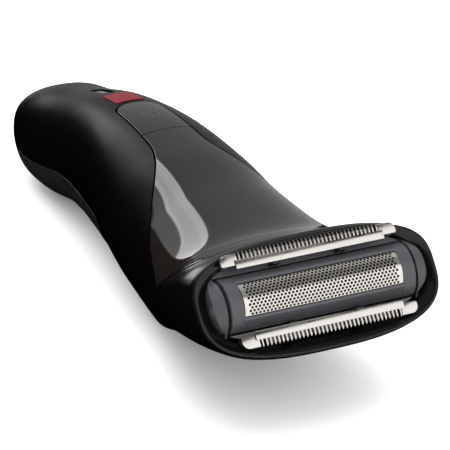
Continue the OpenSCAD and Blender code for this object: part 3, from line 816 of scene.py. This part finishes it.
def makeFoil():
    p, q = foil["holePitch"], foil["rowPitch"]
    # one cell: a rectangle with a round hole, whose edge points meet those of the shifted rows
    edge = [(p / 2, 0), (p / 2, q / 2), (p / 4, q / 2), (0, q / 2), (-p / 4, q / 2), (-p / 2, q / 2),
            (-p / 2, 0), (-p / 2, -q / 2), (-p / 4, -q / 2), (0, -q / 2), (p / 4, -q / 2), (p / 2, -q / 2)]
    count = len(edge)
    ring = oval(foil["holeRadius"], foil["holeRadius"], 2, count)
    points = [Vector((x, y, 0)) for x, y in edge + ring]
    faces = [[k, (k + 1) % count, count + (k + 1) % count, count + k] for k in range(count)]
    cell = meshPiece("foilCell", points, faces)
    # plain margins: at both ends, with the running bond's edge, and below the last rows at each side
    rows, cols = foil["rows"], foil["columns"]
    high = rows * q / 2
    points, faces = [], []

    def strip(xs, ys):
        start = len(points)
        for y in ys:
            points.extend(Vector((x, y, 0)) for x in xs)
        n = len(xs)
        for i in range(len(ys) - 1):
            a, b = start + i * n, start + (i + 1) * n
            faces.extend([a + k, a + k + 1, b + k + 1, b + k] for k in range(n - 1))

    for row in range(rows):
        odd = (row % 2 - 0.5) * p / 2
        low = -high + row * q
        for side in (-1, 1):
            inner = side * cols * p / 2 + odd
            share = [inner + (side * foil["halfLength"] - inner) * k / 3 for k in range(4)]
            xs = share if side > 0 else share[::-1]
            # the shifted rows' corner falls on this row's edge
            strip(xs, [low, low + q / 2, low + q])
    for side in (-1, 1):
        odd = 0 if side < 0 else (rows - 1) % 2
        offset = (odd - 0.5) * p / 2
        between = [offset + (k - 2 * cols) * p / 4 for k in range(4 * cols + 1)]
        xs = [-foil["halfLength"]] + between + [foil["halfLength"]]
        ys = [side * (high + foil["sideDrop"] * k / 3) for k in range(4)]
        strip(xs, ys if side > 0 else ys[::-1])
    sheet = meshPiece("shavingFoil", points, faces)
    tree = makeFoilTree()
    growWith(sheet, tree, {"Cell": cell, "Columns": cols, "Rows": rows,
                           "Hole pitch": p * mm, "Row pitch": q * mm,
                           "Arch radius": foil["radius"] * mm, "Thickness": foil["thickness"] * mm,
                           "Finish": finishes["electroformedNickel"]})
    bpy.data.objects.remove(cell)
    return sheet


finishAs(makeFoil(), "foil_cassette", "foil_steel", "foil")
print("foil done")


trimmer = {"offset": 7.2, "teeth": 36, "pitch": 0.95, "top": -0.35, "thick": 0.45,
           "back": -0.25, "baseWidth": 1.7, "tip": 3.35, "toothWidth": 0.46, "toothRoot": 0.15,
           "endMargin": 0.75, "tabHalf": 21.2, "tab": (0.6, 3.2), "tabCorner": 1.7, "tabDrop": 0.3,
           "cutterGap": 0.1, "stroke": 1.0, "cutterBack": 0.05, "cutterWidth": 1.5, "cutterShort": 0.4}


def makeRowTree():
    # repeats the incoming tooth along x
    tree = bpy.data.node_groups.new("toothRow", "GeometryNodeTree")
    new = tree.interface.new_socket
    new("Geometry", in_out="INPUT", socket_type="NodeSocketGeometry")
    new("Teeth", in_out="INPUT", socket_type="NodeSocketInt")
    new("Pitch", in_out="INPUT", socket_type="NodeSocketFloat")
    new("Finish", in_out="INPUT", socket_type="NodeSocketMaterial")
    new("Geometry", in_out="OUTPUT", socket_type="NodeSocketGeometry")
    source = addNode(tree, "NodeGroupInput").outputs
    gaps = addNode(tree, "ShaderNodeMath", {"operation": "SUBTRACT", 1: 1.0}, {0: source["Teeth"]})
    span = addNode(tree, "ShaderNodeMath", {"operation": "MULTIPLY"},
                   {0: gaps.outputs["Value"], 1: source["Pitch"]})
    begin = addNode(tree, "ShaderNodeMath", {"operation": "MULTIPLY", 1: -0.5}, {0: span.outputs["Value"]})
    first = addNode(tree, "ShaderNodeCombineXYZ", None, {"X": begin.outputs["Value"]})
    step = addNode(tree, "ShaderNodeCombineXYZ", None, {"X": source["Pitch"]})
    line = addNode(tree, "GeometryNodeMeshLine", {"mode": "OFFSET"},
                   {"Count": source["Teeth"], "Start Location": first.outputs["Vector"],
                    "Offset": step.outputs["Vector"]})
    row = addNode(tree, "GeometryNodeInstanceOnPoints", None,
                  {"Points": line.outputs["Mesh"], "Instance": source["Geometry"]})
    whole = addNode(tree, "GeometryNodeRealizeInstances", None, {"Geometry": row.outputs["Instances"]})
    coloured = addNode(tree, "GeometryNodeSetMaterial", None,
                       {"Geometry": whole.outputs["Geometry"], "Material": source["Finish"]})
    addNode(tree, "NodeGroupOutput", None, {"Geometry": coloured.outputs["Geometry"]})
    return tree


rowTree = makeRowTree()


def toothRow(side, teeth, width, root, tip, low, high):
    # a tooth tapers to a rounded tip and thins towards it
    sections = [(0.0, 1.0, 1.0), (0.55, 0.94, 0.96), (0.82, 0.8, 0.86), (0.94, 0.56, 0.7), (1.0, 0.25, 0.5)]
    points, faces = [], []
    for share, wide, deep in sections:
        start = root - trimmer["toothRoot"]
        v = start + (tip - start) * share
        w = width * wide / 2
        thinned = (high - low) * (1 - deep)
        top, bottom = high - thinned * 0.6, low + thinned * 0.4
        for x, n in ((-w, bottom), (w, bottom), (w, top - 0.05),
                     (w * 0.7, top), (-w * 0.7, top), (-w, top - 0.05)):
            points.append(onFace(x, side * (trimmer["offset"] + v), n))
    ring = 6
    for k in range(len(sections) - 1):
        for j in range(ring):
            a, b = k * ring + j, k * ring + (j + 1) % ring
            faces.append([a, b, b + ring, a + ring] if side < 0 else [a, a + ring, b + ring, b])
    cap = list(range(ring))
    last = list(range((len(sections) - 1) * ring, len(sections) * ring))
    faces += [cap[::-1], last] if side < 0 else [cap, last[::-1]]
    tooth = meshPiece("tooth", points, faces)
    return growWith(tooth, rowTree, {"Teeth": teeth, "Pitch": trimmer["pitch"] * mm,
                                     "Finish": finishes["groundBladeSteel"]})


def trimmerPlate(name, side, outline, low, high):
    def place(x, v, n):
        return onFace(x, side * (trimmer["offset"] + v), n)

    return prism(name, outline, place, low, high)


def makeComb(name, side):
    t = trimmer
    half = t["teeth"] * t["pitch"] / 2 + t["endMargin"]
    low = t["top"] - t["thick"]
    outline = [(-half, t["back"]), (half, t["back"]), (half, t["baseWidth"]), (-half, t["baseWidth"])]
    strip = trimmerPlate("strip", side, outline, low, t["top"])
    pieces = [roundEdges(strip, 0.08, 2)]
    back, front = t["tab"]
    for end in (-1, 1):
        # end tab: a lower step with one round corner, it holds the comb in the head
        r = t["tabCorner"]
        turns = [math.pi / 2 * k / 10 for k in range(11)]
        tab = [(half - 0.8, front), (half - 0.8, back),
               (t["tabHalf"] - 0.3, back), (t["tabHalf"], back + 0.3)]
        tab += [(t["tabHalf"] - r + r * math.cos(a), front - r + r * math.sin(a)) for a in turns]
        tab = [(end * x, v) for x, v in (tab if end > 0 else tab[::-1])]
        plate = trimmerPlate("tab", side, tab, low - 0.6, t["top"] - t["tabDrop"])
        pieces.append(roundEdges(plate, 0.12))
    pieces.append(toothRow(side, t["teeth"], t["toothWidth"], t["baseWidth"], t["tip"], low, t["top"]))
    return joined(name, pieces)


def makeCutter(name, side):
    t = trimmer
    half = t["teeth"] * t["pitch"] / 2 - t["stroke"] - 0.2
    teeth = int(2 * half / t["pitch"])
    high = t["top"] - t["thick"] - t["cutterGap"]
    low = high - t["thick"]
    back, front = t["cutterBack"], t["cutterWidth"]
    outline = [(-half, back), (half, back), (half, front), (-half, front)]
    strip = trimmerPlate("strip", side, outline, low, high)
    tips = t["tip"] - t["cutterShort"]
    return joined(name, [roundEdges(strip, 0.08, 2),
                         toothRow(side, teeth, t["toothWidth"], front, tips, low, high)])


for name, side in (("upper", 1), ("lower", -1)):
    finishAs(makeComb(name + "Comb", side), "head", "blade_steel", name + "_comb")
    finishAs(makeCutter(name + "Cutter", side), "oscillator", "blade_steel", name + "_cutter")
print("trimmers done")


studio = {
    "floorSize": 6000, "floorColour": "#f4f3f1",
    "worldColour": "#ffffff", "worldStrength": 1.5,
    # name: azimuth from the tail's side and height in degrees, distance, width, height (mm), brightness
    "cards": {
        "wedge": (-8.5, 32, 1300, 430, 960, 4.2),
        "wedgeSide": (-23.5, 30, 1320, 280, 900, 0.9),
        "backGlow": (33, 26, 1500, 1750, 2700, 0.5),
        "leftCard": (-80, 15, 1300, 900, 650, 0.3),
        "frontCard": (155, 3, 1200, 2200, 2300, 1.1),
        "topGlow": (180, 80, 1400, 1500, 1100, 0.3),
    },
    # seen only by matt surfaces and the floor
    "overhead": ((0, 0, 1500), 1800, 1800, 14),
}

floorHalf = studio["floorSize"] / 2 * mm
floorMesh = bpy.data.meshes.new("floor")
corners = [(-floorHalf, -floorHalf), (floorHalf, -floorHalf),
           (floorHalf, floorHalf), (-floorHalf, floorHalf)]
floorMesh.from_pydata([(x, y, -0.0001) for x, y in corners], [], [[0, 1, 2, 3]])
floor = bpy.data.objects.new("floor", floorMesh)
bpy.context.scene.collection.objects.link(floor)
paper = bpy.data.materials.new("paleStudioPaper")
paper.use_nodes = True
paperShader = paper.node_tree.nodes["Principled BSDF"]
paperShader.inputs["Base Color"].default_value = colourOf(studio["floorColour"])
paperShader.inputs["Roughness"].default_value = 0.9
paperShader.inputs["Specular IOR Level"].default_value = 0.1
floorMesh.materials.append(paper)

world = bpy.data.worlds.new("studioAir")
bpy.context.scene.world = world
world.use_nodes = True
air = world.node_tree.nodes["Background"]
air.inputs["Color"].default_value = colourOf(studio["worldColour"])
air.inputs["Strength"].default_value = studio["worldStrength"]
world.cycles_visibility.glossy = False


def addLamp(name, place, width, height, power, mirrored):
    lamp = bpy.data.lights.new(name, "AREA")
    lamp.shape = "RECTANGLE"
    lamp.size, lamp.size_y = width * mm, height * mm
    lamp.energy = power
    lampObject = bpy.data.objects.new(name, lamp)
    lampObject.location = Vector(place) * mm
    lampObject.rotation_euler = (-Vector(place)).to_track_quat("-Z", "Y").to_euler()
    lampObject.visible_glossy = mirrored
    bpy.context.scene.collection.objects.link(lampObject)


floor.visible_glossy = False
for name, (turnBy, rise, distance, width, height, brightness) in studio["cards"].items():
    a, e = math.radians(turnBy), math.radians(rise)
    place = Vector((math.sin(a) * math.cos(e), math.cos(a) * math.cos(e), math.sin(e))) * distance
    addLamp(name, place, width, height, brightness * math.pi * width * height * mm * mm, True)
place, width, height, power = studio["overhead"]
addLamp("overhead", place, width, height, power, False)

viewer = {"place": (-229.37, -516.1, 275.47), "look": (0.3873, 0.8212, -0.4191),
          "up": (0.1814, 0.3778, 0.9079), "lens": 204.864, "sensor": 36}
lens = bpy.data.cameras.new("viewer")
lens.sensor_width = viewer["sensor"]
lens.lens = viewer["lens"]
lens.clip_start, lens.clip_end = 0.01, 20
camera = bpy.data.objects.new("viewer", lens)
look = Vector(viewer["look"]).normalized()
right = look.cross(Vector(viewer["up"])).normalized()
upward = right.cross(look)
turn = Matrix((right, upward, -look)).transposed().to_4x4()
camera.matrix_world = Matrix.Translation(Vector(viewer["place"]) * mm) @ turn
bpy.context.scene.collection.objects.link(camera)
bpy.context.scene.camera = camera
bpy.context.scene.view_settings.view_transform = "Standard"
print("studio done")
